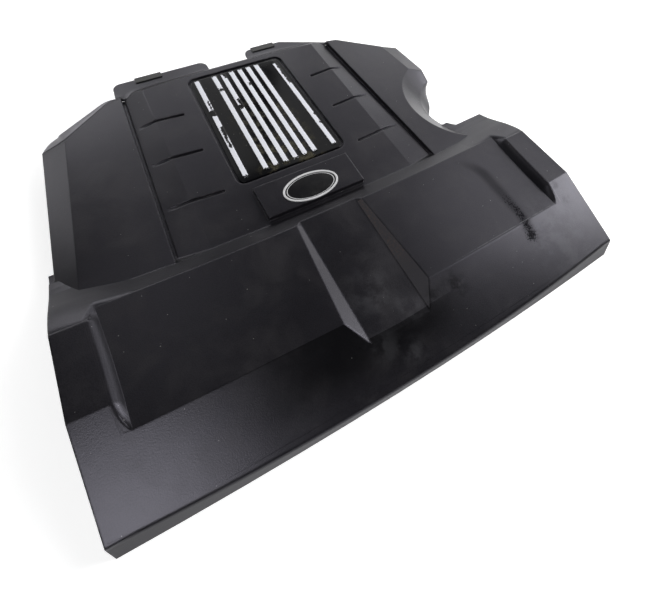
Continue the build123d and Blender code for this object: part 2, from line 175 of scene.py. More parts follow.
class Wiring:
    """Short ways to add nodes to one tree. A value may be a socket or a plain number, vector or colour."""

    def __init__(self, tree):
        self.tree = tree

    def add(self, kind, **settings):
        node = self.tree.nodes.new(kind)
        for name, value in settings.items():
            setattr(node, name, value)
        return node

    def put(self, socket, value):
        if isinstance(value, bpy.types.NodeSocket):
            self.tree.links.new(value, socket)
        else:
            socket.default_value = value

    def math(self, operation, *values, clamp=False):
        node = self.add("ShaderNodeMath", operation=operation, use_clamp=clamp)
        for socket, value in zip(node.inputs, values):
            self.put(socket, value)
        return node.outputs[0]

    def times(self, first, *others):
        """Product of all values."""
        for other in others:
            first = self.math("MULTIPLY", first, other)
        return first

    def most(self, first, *others):
        """Greatest of all values."""
        for other in others:
            first = self.math("MAXIMUM", first, other)
        return first

    def mix(self, share, low, high):
        """Colour between low and high."""
        node = self.add("ShaderNodeMix", data_type="RGBA", clamp_factor=True)
        self.put(node.inputs["Factor"], share)
        self.put(node.inputs["A"], low)
        self.put(node.inputs["B"], high)
        return node.outputs["Result"]

    def tint(self, colour, mask, strength, other):
        """Colour with another, three plain numbers, laid on it where the mask is, at the given strength."""
        return self.mix(self.times(mask, strength), colour, (*other, 1))

    def blend(self, share, low, high):
        """Number between low and high."""
        node = self.add("ShaderNodeMix", data_type="FLOAT", clamp_factor=True)
        self.put(node.inputs[0], share)
        self.put(node.inputs[2], low)
        self.put(node.inputs[3], high)
        return node.outputs[0]

    def rise(self, value, low, high):
        """Smooth step from 0 at low to 1 at high. It falls where low is above high."""
        node = self.add("ShaderNodeMapRange", interpolation_type="SMOOTHSTEP")
        for socket, setting in zip(node.inputs, (value, low, high, 0.0, 1.0)):
            self.put(socket, setting)
        return node.outputs[0]

    def within(self, value, low, high):
        """1 between low and high, otherwise 0."""
        return self.times(self.math("GREATER_THAN", value, low), self.math("LESS_THAN", value, high))

    def place(self):
        """Object coordinates."""
        return self.add("ShaderNodeTexCoord").outputs["Object"]

    def normal(self):
        """Direction that the surface faces."""
        return self.add("ShaderNodeNewGeometry").outputs["Normal"]

    def split(self, vector):
        """The three numbers of a vector."""
        node = self.add("ShaderNodeSeparateXYZ")
        self.put(node.inputs[0], vector)
        return node.outputs

    def noise(self, where, scale, detail=2.0, roughness=0.5, distortion=0.0):
        node = self.add("ShaderNodeTexNoise")
        self.put(node.inputs["Vector"], where)
        for name, value in (("Scale", scale), ("Detail", detail), ("Roughness", roughness)):
            self.put(node.inputs[name], value)
        self.put(node.inputs["Distortion"], distortion)
        return node.outputs["Fac"]

    def spot(self, parts, centre, reach):
        """Soft round patch in plan: 1 at centre, 0 at reach."""
        across = self.math("SUBTRACT", parts[0], centre[0])
        along = self.math("SUBTRACT", parts[1], centre[1])
        squares = self.math("MULTIPLY_ADD", along, along, self.times(across, across))
        return self.rise(self.math("SQRT", squares), reach, 0.0)

    def spots(self, parts, places):
        """Several soft round patches."""
        return self.most(*[self.spot(parts, centre, reach) for centre, reach in places])


def new_group(name, inputs, outputs):
    """Empty node group. Inputs are names and default numbers, outputs names and socket kinds."""
    group = bpy.data.node_groups.new(name, "ShaderNodeTree")
    for label, value in inputs.items():
        socket = group.interface.new_socket(label, in_out="INPUT", socket_type="NodeSocketFloat")
        socket.default_value = value
    for label, kind in outputs.items():
        group.interface.new_socket(label, in_out="OUTPUT", socket_type=kind)
    wires = Wiring(group)
    entry = wires.add("NodeGroupInput")
    leave = wires.add("NodeGroupOutput")
    return group, wires, entry.outputs, leave.inputs


def moulding_grain():
    """Eroded-tool grain: fine noise for height, and a slow mottle for gloss and colour."""
    inputs = {"Grain": 0.0009, "Mottle Size": 0.03}
    outputs = {"Height": "NodeSocketFloat", "Mottle": "NodeSocketFloat"}
    group, wires, given, result = new_group("moulding_grain", inputs, outputs)
    where = wires.place()
    fine = wires.noise(where, wires.math("DIVIDE", 1.0, given["Grain"]), 2.0, 0.55)
    slow = wires.noise(where, wires.math("DIVIDE", 1.0, given["Mottle Size"]), 3.0, 0.6)
    wires.put(result["Height"], fine)
    wires.put(result["Mottle"], slow)
    return group


def settled_dust():
    """Dust on faces that look up: a thin broken film, and sparse tiny specks."""
    inputs = {"Patch Size": 0.05, "Speck Pitch": 0.02, "Speck Radius": 0.0005, "Speck Share": 0.3}
    outputs = {"Film": "NodeSocketFloat", "Specks": "NodeSocketFloat"}
    group, wires, given, result = new_group("settled_dust", inputs, outputs)
    where = wires.place()
    level = wires.rise(wires.split(wires.normal())[2], 0.5, 0.95)
    patches = wires.noise(where, wires.math("DIVIDE", 1.0, given["Patch Size"]), 5.0, 0.62, 0.4)
    wires.put(result["Film"], wires.times(wires.rise(patches, 0.42, 0.72), level))
    cells = wires.add("ShaderNodeTexVoronoi", voronoi_dimensions="2D", feature="F1")
    wires.put(cells.inputs["Vector"], where)
    wires.put(cells.inputs["Scale"], wires.math("DIVIDE", 1.0, given["Speck Pitch"]))
    draw = wires.add("ShaderNodeSeparateColor")
    wires.put(draw.inputs[0], cells.outputs["Color"])
    size = wires.times(given["Speck Radius"], wires.blend(draw.outputs[1], 0.45, 1.3))
    reach = wires.math("DIVIDE", size, given["Speck Pitch"])
    dot = wires.math("LESS_THAN", cells.outputs["Distance"], reach)
    chosen = wires.math("LESS_THAN", draw.outputs[0], given["Speck Share"])
    wires.put(result["Specks"], wires.times(dot, chosen, level))
    return group


def rubbed_edges():
    """Rounds the look of every edge, and marks where it has been rubbed: high where the rounded normal
    turns away from the face, broken up by noise."""
    inputs = {"Radius": 0.0015, "Patch Size": 0.012}
    outputs = {"Normal": "NodeSocketVector", "Wear": "NodeSocketFloat"}
    group, wires, given, result = new_group("rubbed_edges", inputs, outputs)
    rounded_edge = wires.add("ShaderNodeBevel", samples=6)
    wires.put(rounded_edge.inputs["Radius"], given["Radius"])
    agree = wires.add("ShaderNodeVectorMath", operation="DOT_PRODUCT")
    wires.put(agree.inputs[0], rounded_edge.outputs[0])
    wires.put(agree.inputs[1], wires.normal())
    turned = wires.rise(agree.outputs["Value"], 0.995, 0.86)
    broken = wires.noise(wires.place(), wires.math("DIVIDE", 1.0, given["Patch Size"]), 4.0, 0.65)
    wires.put(result["Normal"], rounded_edge.outputs[0])
    wires.put(result["Wear"], wires.times(turned, wires.rise(broken, 0.45, 0.7)))
    return group


GRAIN = moulding_grain()
DUST = settled_dust()
EDGES = rubbed_edges()


def use_group(wires, group, **values):
    """Places a node group with its own values. Underscores in names stand for spaces."""
    node = wires.add("ShaderNodeGroup", node_tree=group)
    for name, value in values.items():
        wires.put(node.inputs[name.replace("_", " ")], value)
    return node.outputs


def new_material(name):
    """Material with a plain Principled shader, the wiring of its tree, and the shader's sockets."""
    material = bpy.data.materials.new(name)
    material.use_nodes = True
    wires = Wiring(material.node_tree)
    shader = material.node_tree.nodes["Principled BSDF"]
    return material, wires, shader.inputs


def bump(wires, height, strength, distance, normal):
    """Normal with the height's relief on it."""
    node = wires.add("ShaderNodeBump")
    wires.put(node.inputs["Strength"], strength)
    wires.put(node.inputs["Distance"], distance)
    wires.put(node.inputs["Height"], height)
    wires.put(node.inputs["Normal"], normal)
    return node.outputs[0]


def wiped_streak(wires, parts, where):
    """Dark gritty smear on the right of the hood: a faint film at its rear, specks that crowd together to
    the front, and a blot at its end. Its middle line bends aside with the square of the way behind one
    place, and leans in front of another."""
    behind = wires.math("MAXIMUM", wires.math("SUBTRACT", parts[1], STREAK_BEND_START), 0.0)
    ahead = wires.math("MINIMUM", wires.math("SUBTRACT", parts[1], STREAK_LEAN_START), 0.0)
    lean = wires.math("MULTIPLY_ADD", ahead, STREAK_LEAN, STREAK_ACROSS)
    line = wires.math("ADD", wires.times(behind, behind, STREAK_BEND), lean)
    off = wires.math("ABSOLUTE", wires.math("SUBTRACT", parts[0], line))
    run = wires.times(wires.rise(parts[1], -0.085, -0.195), wires.rise(parts[1], -0.230, -0.212))
    crowd = wires.times(wires.rise(off, 0.0150, 0.0005), run, 0.80)
    blot = wires.times(wires.spot(parts, STREAK_BLOT, STREAK_BLOT_REACH), 0.98)
    crowd = wires.most(crowd, blot)
    grit = wires.noise(where, 500.0, 3.0, 0.75)
    specks = wires.rise(grit, wires.blend(crowd, 0.74, 0.30), wires.blend(crowd, 0.86, 0.44))
    reach = wires.times(wires.rise(parts[1], -0.070, -0.115), wires.rise(parts[1], -0.232, -0.200))
    film = wires.times(wires.rise(off, 0.013, 0.002), reach, 0.46)
    return wires.math("MAXIMUM", specks, film, clamp=True)


def wiped_patches(wires, parts, where):
    """Thin pale haze left by wiping: soft spots on the channel's floor, below it, and on the apron's right,
    broken up by noise."""
    cloud = wires.noise(where, 55.0, 4.0, 0.6)
    return wires.times(wires.spots(parts, HAZE_SPOTS), wires.rise(cloud, 0.38, 0.62))


def smudges_and_painted_shadow(wires, parts, where):
    """Dark smudges, small soft spots beside the channel and on the right, and painted shadow, a broad dark
    patch on the apron below the channel's mouth. The shadow ends at the channel's mouth or, left of the
    line of the channel's left flank, at the apron's top."""
    cloud = wires.noise(where, 70.0, 4.0, 0.6)
    dark_patches = wires.times(wires.spots(parts, SMUDGE_SPOTS), wires.rise(cloud, 0.38, 0.62))
    along = wires.math("SUBTRACT", parts[1], wires.times(wires.math("ABSOLUTE", parts[0]), SHADOW_BOW))
    middle = wires.times(wires.rise(parts[0], -0.260, -0.090), wires.rise(parts[0], 0.110, 0.030))
    # Painted shadow: a broad dark patch on the apron below the channel's mouth
    painted_shadow = wires.times(middle, wires.rise(along, -0.285, -0.245))
    across, behind = (wires.math("SUBTRACT", parts[axis], FLANK_START[axis]) for axis in (0, 1))
    left = wires.math("LESS_THAN", wires.math("MULTIPLY_ADD", behind, FLANK_LEAN, across), 0.0)
    apron = wires.most(wires.math("LESS_THAN", along, SHADOW_END_AHEAD), left)
    painted_shadow = wires.times(painted_shadow, apron, wires.math("LESS_THAN", along, SHADOW_END_BESIDE))
    return wires.most(dark_patches, wires.times(painted_shadow, 0.9))


def worn_fold(wires, parts, where):
    """Thin pale line where the right of the hood folds down into the apron."""
    across = wires.math("SUBTRACT", parts[0], FOLD_START[0])
    line = wires.math("MULTIPLY_ADD", across, FOLD_LEAN, FOLD_START[1])
    off = wires.math("ABSOLUTE", wires.math("SUBTRACT", parts[1], line))
    reach = wires.times(wires.rise(parts[0], 0.070, 0.150), wires.math("LESS_THAN", parts[0], FOLD_END))
    broken = wires.rise(wires.noise(where, 90.0, 4.0, 0.7), 0.36, 0.6)
    return wires.times(wires.rise(off, 0.0009, 0.0002), reach, broken)


def painted_roll_highlight(wires, parts, where):
    """Painted highlight on the rolled rear edge of the left wing, as a pale film: all that lies behind the
    wing's outline, a leaning line that is level past its two limits."""
    across = wires.math("SUBTRACT", parts[0], ROLL_START[0])
    line = wires.math("MULTIPLY_ADD", across, ROLL_LEAN, ROLL_START[1])
    line = wires.math("MINIMUM", wires.math("MAXIMUM", line, ROLL_LIMITS[0]), ROLL_LIMITS[1])
    behind = wires.rise(wires.math("SUBTRACT", parts[1], line), 0.0, 0.0030)
    beside = wires.rise(parts[0], -0.176, -0.190)
    broken = wires.blend(wires.rise(wires.noise(where, 60.0, 3.0, 0.6), 0.35, 0.65), 0.75, 1.0)
    return wires.times(behind, beside, broken)


def flank_dust_and_light(wires, parts, where):
    """The channel's flanks: an even pale grey film on the left one, painted light that makes it lighter, a
    grey dust film on the right one, and brown dust specks on the right one's rear half."""
    near, far = FLANK_ACROSS
    aside = wires.split(wires.normal())[0]
    run = wires.within(parts[1], *FLANK_ALONG)
    left = wires.times(wires.rise(aside, 0.25, 0.42), wires.within(parts[0], -far, -near), run)
    right = wires.times(wires.rise(aside, -0.25, -0.42), wires.within(parts[0], near, far), run)
    speckle = wires.rise(wires.noise(where, 420.0, 3.0, 0.75), 0.46, 0.66)
    brown = wires.times(right, speckle, wires.rise(parts[1], -0.20, -0.14))
    return left, right, brown


def lip_face(wires, parts):
    """The front lip: all that lies ahead of a bowed line and below the apron's edge."""
    bowed = wires.times(parts[0], parts[0], -1 / BOW)
    ahead = wires.rise(wires.math("ADD", parts[1], bowed), -0.284, -0.287)
    return wires.times(ahead, wires.rise(parts[2], LIP_HEIGHT, 0.024))


MARKS = (wiped_streak, wiped_patches, smudges_and_painted_shadow, worn_fold, painted_roll_highlight)


def shell_plastic():
    """Black satin moulding: fine grain, rubbed edges, dust, specks, a gritty streak, haze, smudges, and a
    duller front lip. Painted on it are a shadow on the apron, a lighter left flank of the channel, and
    highlights on the left side edge, the left wing's rolled edge and the deck's edges."""
    material, wires, shader = new_material("shell_plastic")
    where = wires.place()
    parts = wires.split(where)
    grain = use_group(wires, GRAIN, Grain=0.0014, Mottle_Size=0.045)
    specks = {"Speck_Pitch": 0.017, "Speck_Radius": 0.00038, "Speck_Share": 0.12}
    dust = use_group(wires, DUST, Patch_Size=0.06, **specks)
    edges = use_group(wires, EDGES, Radius=0.0025, Patch_Size=0.010)
    outside = wires.math("GREATER_THAN", wires.split(wires.normal())[2], 0.05)
    marks = [wires.times(mark(wires, parts, where), outside) for mark in MARKS]
    streak, haze, dark_patches, fold, roll = marks
    left_flank_light, right_film, brown = flank_dust_and_light(wires, parts, where)
    # Rubbed edges, paler on the deck, where the paler edges also paint highlights along the slots and other
    # edges
    edge_wear_and_glints = wires.times(edges["Wear"], wires.blend(wires.rise(parts[1], -0.05, 0.0), 0.14, 0.30))
    left_edge_highlight = wires.times(edges["Wear"], wires.rise(parts[0], -0.325, -0.331))
    pores = wires.rise(grain["Height"], 0.55, 0.36)

    colour = wires.mix(grain["Mottle"], (0.0078, 0.0072, 0.0090, 1), (0.0100, 0.0094, 0.0114, 1))
    colour = wires.tint(colour, pores, 0.5, (0.002, 0.002, 0.002))
    colour = wires.tint(colour, dust["Film"], 0.026, (0.30, 0.28, 0.26))
    # Dark smudges, and painted shadow on the apron below the channel's mouth
    colour = wires.tint(colour, dark_patches, 0.85, (0.002, 0.002, 0.002))
    colour = wires.tint(colour, haze, 0.09, (0.26, 0.26, 0.28))
    # Painted light: the channel's left flank made lighter
    colour = wires.tint(colour, left_flank_light, 0.5, (0.060, 0.058, 0.062))
    colour = wires.tint(colour, right_film, 0.7, (0.044, 0.042, 0.045))
    colour = wires.tint(colour, brown, 0.55, (0.075, 0.050, 0.036))
    colour = wires.tint(colour, streak, 0.9, (0.002, 0.002, 0.003))
    # Rubbed edges, with painted highlights along the deck's edges
    colour = wires.mix(edge_wear_and_glints, colour, (0.22, 0.21, 0.22, 1))
    # Painted highlight along the hood's left side edge, laid where the rubbed-edge mask lies
    colour = wires.tint(colour, left_edge_highlight, 0.75, (0.42, 0.41, 0.43))
    # Painted highlight on the left wing's rolled rear edge
    colour = wires.tint(colour, roll, 0.85, (0.215, 0.208, 0.224))
    colour = wires.tint(colour, fold, 0.13, (0.40, 0.40, 0.42))
    colour = wires.tint(colour, dust["Specks"], 0.45, (0.45, 0.44, 0.43))

    gloss = wires.blend(grain["Mottle"], 0.28, 0.35)
    gloss = wires.math("MULTIPLY_ADD", dust["Film"], 0.05, gloss)
    gloss = wires.blend(wires.times(right_film, 0.6), gloss, 0.6)
    gloss = wires.blend(streak, gloss, 0.85)
    gloss = wires.blend(lip_face(wires, parts), gloss, 0.55)

    wires.put(shader["Base Color"], colour)
    wires.put(shader["Roughness"], gloss)
    wires.put(shader["Metallic"], wires.most(wires.times(streak, 0.70), wires.times(dark_patches, 0.55)))
    wires.put(shader["Specular IOR Level"], 0.44)
    wires.put(shader["Specular Tint"], (0.88, 0.86, 1.0, 1))
    wires.put(shader["Normal"], bump(wires, grain["Height"], 0.5, 0.00018, edges["Normal"]))
    return material


def foil_mask(wires, parts, where):
    """Where foil still lies on the stripes: inside a stripe's width, less the worn and peeled places.
    A place across is a share of the stripes' half span, which narrows to the rear."""
    run = wires.math("DIVIDE", wires.math("SUBTRACT", parts[1], PANEL_FRONT), PANEL_LENGTH)
    span = wires.blend(run, STRIPE_SPAN_FRONT, STRIPE_SPAN_REAR)
    share = wires.math("DIVIDE", parts[0], span)
    half = wires.math("DIVIDE", STRIPE_HALF, span)
    ragged = wires.noise(where, 420.0, 4.0, 0.7)
    edge = wires.math("MULTIPLY_ADD", wires.math("SUBTRACT", ragged, 0.66), 0.028, half)
    step = wires.math("DIVIDE", wires.math("SUBTRACT", share, STRIPE_FIRST), STRIPE_PITCH)
    beside = wires.math("SUBTRACT", step, wires.math("ROUND", step))
    beside = wires.times(wires.math("ABSOLUTE", beside), STRIPE_PITCH)
    limit = wires.math("LESS_THAN", wires.math("ABSOLUTE", share), -STRIPE_FIRST + STRIPE_PITCH / 2)
    inner = wires.times(wires.math("LESS_THAN", beside, edge), limit)
    outer = wires.math("SUBTRACT", wires.math("ABSOLUTE", share), 1.0)
    outer = wires.math("LESS_THAN", wires.math("ABSOLUTE", outer), edge)
    torn = wires.noise(where, 260.0, 3.0, 0.65)
    frayed = wires.math("MULTIPLY_ADD", wires.math("SUBTRACT", ragged, 0.5), 0.07, run)
    foil = wires.times(wires.most(inner, outer), wires.within(frayed, *FOIL_RUN))
    for stripe, start, end, left, right in PEELS:
        off = wires.math("SUBTRACT", share, stripe)
        across = wires.math("DIVIDE", off, half)
        across = wires.math("MULTIPLY_ADD", wires.math("SUBTRACT", torn, 0.5), 2.6, across)
        peeled = wires.times(wires.within(across, left, right), wires.within(frayed, start, end))
        near = wires.within(off, -0.10, 0.10)
        foil = wires.times(foil, wires.math("SUBTRACT", 1.0, wires.times(peeled, near)))
    return foil, run, share


def panel_gloss():
    """Gloss black panel with pale foil on its stripes, worn and peeled in places, and olive dust between
    them."""
    material, wires, shader = new_material("panel_gloss")
    where = wires.place()
    foil, run, share = foil_mask(wires, wires.split(where), where)
    grain = use_group(wires, GRAIN, Grain=0.0016, Mottle_Size=0.02)
    dust = use_group(wires, DUST, Patch_Size=0.02, Speck_Pitch=0.008, Speck_Radius=0.0003, Speck_Share=0.25)
    edges = use_group(wires, EDGES, Radius=0.0026, Patch_Size=0.006)
    patches = wires.rise(wires.noise(where, 75.0, 3.0, 0.6), 0.44, 0.66)
    speckle = wires.rise(wires.noise(where, 520.0, 3.0, 0.75), 0.28, 0.58)
    middle = wires.rise(wires.math("ABSOLUTE", share), 0.85, 0.40)
    olive = wires.times(patches, speckle, wires.rise(run, 0.85, 0.30), middle)
    plastic = wires.mix(wires.times(olive, 0.7), (0.004, 0.004, 0.005, 1), (0.075, 0.066, 0.036, 1))
    plastic = wires.tint(plastic, dust["Specks"], 0.5, (0.40, 0.39, 0.36))
    silver = wires.mix(grain["Mottle"], (0.74, 0.75, 0.81, 1), (0.86, 0.87, 0.93, 1))
    bare = wires.blend(olive, wires.blend(grain["Mottle"], 0.06, 0.14), 0.42)
    height = wires.math("MULTIPLY_ADD", foil, 1.5, grain["Height"])
    wires.put(shader["Base Color"], wires.mix(foil, plastic, silver))
    wires.put(shader["Roughness"], wires.blend(foil, bare, 0.42))
    wires.put(shader["Specular IOR Level"], 0.25)
    wires.put(shader["Normal"], bump(wires, height, 0.15, 0.00008, edges["Normal"]))
    return material


def badge_enamel():
    """Plain oval badge: dark enamel field inside a pale rim, with a thin pale line round the field. A
    place's radius is 1 on the oval inside the rim's width."""
    rim_width = 0.0026
    material, wires, shader = new_material("badge_enamel")
    parts = wires.split(wires.place())
    grain = use_group(wires, GRAIN, Grain=0.0012, Mottle_Size=0.01)
    dust = use_group(wires, DUST, Patch_Size=0.012, Speck_Pitch=0.008, Speck_Radius=0.0003, Speck_Share=0.2)
    edges = use_group(wires, EDGES, Radius=0.0005, Patch_Size=0.004)
    low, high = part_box("badge")
    middle = (low + high) / 2
    half = (high - low) / 2
    across = wires.math("DIVIDE", wires.math("SUBTRACT", parts[0], middle.x), half.x - rim_width)
    along = wires.math("DIVIDE", wires.math("SUBTRACT", parts[1], middle.y), half.y - rim_width)
    radius = wires.math("SQRT", wires.math("MULTIPLY_ADD", across, across, wires.times(along, along)))
    rim = wires.math("GREATER_THAN", radius, 0.992)
    pale = wires.most(rim, wires.times(wires.within(radius, 0.900, 0.932), 0.8))
    field = wires.mix(grain["Mottle"], (0.006, 0.006, 0.007, 1), (0.010, 0.010, 0.011, 1))
    field = wires.tint(field, dust["Film"], 0.03, (0.3, 0.29, 0.27))
    bright = wires.mix(grain["Mottle"], (0.66, 0.66, 0.67, 1), (0.80, 0.80, 0.81, 1))
    wires.put(shader["Base Color"], wires.mix(pale, field, bright))
    wires.put(shader["Metallic"], wires.times(rim, 0.25))
    wires.put(shader["Roughness"], wires.blend(pale, 0.16, 0.34))
    wires.put(shader["Normal"], bump(wires, grain["Height"], 0.06, 0.00005, edges["Normal"]))
    return material


def plain_black(name, low, high, roughness, grain_size):
    """Matte black finish of the clips and grommets: mottled colour, grain, rubbed edges and a trace of
    dust."""
    material, wires, shader = new_material(name)
    grain = use_group(wires, GRAIN, Grain=grain_size, Mottle_Size=0.008)
    dust = use_group(wires, DUST, Patch_Size=0.01, Speck_Pitch=0.01, Speck_Radius=0.0003, Speck_Share=0.15)
    edges = use_group(wires, EDGES, Radius=0.0006, Patch_Size=0.004)
    colour = wires.mix(grain["Mottle"], (low, low, low, 1), (high, high, high, 1))
    colour = wires.tint(colour, dust["Film"], 0.06, (0.25, 0.24, 0.22))
    colour = wires.tint(colour, edges["Wear"], 0.2, (0.18, 0.18, 0.18))
    wires.put(shader["Base Color"], colour)
    wires.put(shader["Roughness"], wires.blend(grain["Mottle"], roughness - 0.06, roughness + 0.06))
    wires.put(shader["Normal"], bump(wires, grain["Height"], 0.3, 0.0001, edges["Normal"]))
    return material


FINISHES = {
    "shell": shell_plastic(),
    "panel": panel_gloss(),
    "badge": badge_enamel(),
    "clip": plain_black("clip_plastic", 0.012, 0.022, 0.5, 0.0008),
    "rubber": plain_black("grommet_rubber", 0.015, 0.028, 0.72, 0.0006),
}
for part in frame["record"]["subparts"]:
    slots = frame["nodes"][part["node"]].data.materials
    slots.clear()
    slots.append(FINISHES[part["material_slot"]])


def fitted_surface(name, places):
    """Sheet through a grid of places, rows by columns, that lies on the shell and takes its finish."""
    rows, columns = places.shape[:2]
    index = np.arange(rows * columns).reshape(rows, columns)
    corners = (index[:-1, :-1], index[1:, :-1], index[1:, 1:], index[:-1, 1:])
    faces = np.stack(corners, axis=-1).reshape(-1, 4)
    mesh = bpy.data.meshes.new(name)
    mesh.from_pydata(places.reshape(-1, 3).tolist(), [], faces.tolist())
    mesh.polygons.foreach_set("use_smooth", np.ones(len(faces), dtype=bool))
    mesh.set_sharp_from_angle(angle=math.radians(35))
    mesh.materials.append(FINISHES["shell"])
    piece = bpy.data.objects.new(name, mesh)
    bpy.context.scene.collection.objects.link(piece)
    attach(piece, "root")


def on_hood(across, station, height):
    """Places from distance across, station behind the bowed front foot, and height."""
    across, station, height = np.broadcast_arrays(across, station, height)
    return np.stack([across, FRONT_FOOT + station + across * across / BOW, height], axis=-1)


def on_deck(across, station, height):
    """Places from distance across, station behind the front foot's middle, and height."""
    across, station, height = np.broadcast_arrays(across, station, height)
    return np.stack([across, FRONT_FOOT + station, height], axis=-1)


def facing_up(places, side):
    """Rows turned round on the left side, so that a mirrored sheet still faces up."""
    return places if side > 0 else places[::-1]


def smooth(share):
    """Smooth step from 0 to 1."""
    share = np.clip(share, 0, 1)
    return share * share * (3 - 2 * share)


def apron_height(station):
    """Height of the apron's plane."""
    return LIP_HEIGHT + (station - LIP_STATION) * APRON_SLOPE


def lip_bead():
    """Front edge that bows further forward than its foot. At each place across, the apron's plane runs on
    by a reach that is greatest in the middle and falls with the square of the distance to nothing at the
    ends. There it turns over a parabola and runs straight to the lip's foot."""
    half_width = 0.334
    greatest_reach = 0.0076
    reach_half = 0.333
    end_tuck = 0.0001
    proud = 0.00006
    nose_length = 0.0042
    foot_place = (0.00015, 0.0010)
    rear_station = 0.0150
    rear_sink = 0.0002
    across = np.linspace(-half_width, half_width, 161)[:, None]
    reach = greatest_reach * (1 - (across / reach_half) ** 2) - end_tuck
    edge = np.stack([LIP_STATION - reach, apron_height(LIP_STATION - reach) + proud], axis=-1)
    foot = np.broadcast_to(np.array(foot_place), edge.shape)
    plane = np.array([1.0, APRON_SLOPE]) / math.hypot(1.0, APRON_SLOPE)
    face = (foot - edge) / np.linalg.norm(foot - edge, axis=-1, keepdims=True)
    start, end = edge + nose_length * plane, edge + nose_length * face
    turn = np.linspace(0, 1, 9)[None, :, None]
    nose = (1 - turn) ** 2 * start + 2 * turn * (1 - turn) * edge + turn**2 * end
    rear = np.array([rear_station, apron_height(rear_station) - rear_sink])
    rear = np.broadcast_to(rear, edge.shape)
    drop = np.linspace(0, 1, 7)[None, 1:, None]
    section = np.concatenate([end + (foot - end) * drop[:, ::-1], nose[:, ::-1], rear], axis=1)
    fitted_surface("lip_bead", on_hood(across, section[..., 0], section[..., 1]))


def recess_end(name, side):
    """Soft end wall of the hood's recess. Along the recess its top follows the margin: up the apron's
    slope, level, and down the band. Across, it falls from the top with a power of the distance, so it is
    steepest at its foot. Its width swells by a sine from both ends to the middle. It runs on past its foot
    and its top, and sinks into the shell there."""
    least_width = 0.0108
    swell = 0.0016
    power = 2.2
    past_foot = 0.12
    past_top = 0.10
    foot_sink = 0.0012
    top_sink = 0.0004
    station = np.linspace(RECESS_FRONT, RECESS_REAR, 90)[None, :]
    share = np.linspace(-past_foot, 1 + past_top, 40)[:, None]
    top = np.minimum(apron_height(station), MARGIN_TOP)
    top = np.minimum(top, MARGIN_TOP - (station - CREST) * BAND_SLOPE)
    width = least_width + swell * np.sin(np.pi * (station - RECESS_FRONT) / (RECESS_REAR - RECESS_FRONT))
    rise = np.where(share > 0, 1 - np.clip(1 - share, 0, 1) ** power, 0)
    height = RECESS_FLOOR + (top - RECESS_FLOOR) * rise + PROUD * (1 - np.clip(share, 0, 1) ** 4)
    height = height - foot_sink * np.maximum(-share, 0) / past_foot
    height = height - top_sink * np.maximum(share - 1, 0) / past_top
    across = RECESS_EDGE - width * (1 - share)
    fitted_surface(name, facing_up(on_hood(side * across, station, height), side))


def hood_side(station, height):
    """Distance across to the hood's drafted side, which closes in to the rear."""
    return SIDE_HALF - SIDE_TAPER * station - SIDE_DRAFT * height


def band_end(name, side):
    """Swollen end of the sloping band behind the hood: the band's own profile, raised by a parabola along
    the slope, which grows smoothly from nothing to its full height at the end. A smooth minimum keeps it
    below the recess. Its outer side drops along the hood's drafted side to the deck's rising rim. There it
    is swollen a little over the deck's root, by a smooth step down the side and two ramps along it."""
    front = 0.1600
    inner = 0.2300
    nominal_outer = 0.3260
    greatest_swell = 0.0060
    inner_sink = 0.000105
    outer_lift = 0.0003
    station = np.linspace(front, BAND_FOOT, 105)[None, :]
    share = np.linspace(0, 1, 48)[:, None]
    run = np.clip((station - CREST) / (BAND_FOOT - CREST), 0, 1)
    swell = greatest_swell * 4 * run * (1 - run)
    band = np.interp(station, BAND_STATIONS, BAND_HEIGHTS)
    height = band - inner_sink + (swell + outer_lift) * smooth(share)

    wall_foot = 0.2835
    wall_width = 0.0095
    ease = 0.0020
    up_wall = np.clip((inner + (nominal_outer - inner) * share - wall_foot) / wall_width, 0, 1)
    ceiling = RECESS_FLOOR - PROUD + (MARGIN_TOP - RECESS_FLOOR) * up_wall
    near = np.maximum(1 - np.abs(height - ceiling) / ease, 0)
    height = np.minimum(height, ceiling) - ease / 4 * near * near
    outer = hood_side(station, height[-1:]) + PROUD
    across = inner + (outer - inner) * share

    rim_start = 0.0600
    rim_run = 0.2400
    rim_rise = 0.0140
    rim_lift = 0.0003
    root_front = 0.1620
    root_growth = 0.0340
    root_rear = 0.2460
    root_decline = 0.0480
    root_swell = 0.0042
    root_top = 0.0480
    root_fade = 0.0180
    side_lift = 0.00015
    side_tuck = 0.0010
    rim = rim_rise * np.clip((station - rim_start) / rim_run, 0, 1) + rim_lift
    drop = np.linspace(0, 1, 22)[1:, None]
    skirt = height[-1:] + (rim - height[-1:]) * drop
    growth = smooth((station - root_front) / root_growth)
    decline = np.clip((root_rear - station) / root_decline, 0, 1)
    root = root_swell * np.minimum(growth, decline) * smooth((root_top - skirt) / root_fade)
    below = hood_side(station, skirt) + side_lift + root
    across = np.concatenate([across, below, hood_side(station, rim) - side_tuck])
    height = np.concatenate([height, skirt, rim])
    fitted_surface(name, facing_up(on_hood(side * across, station, height), side))


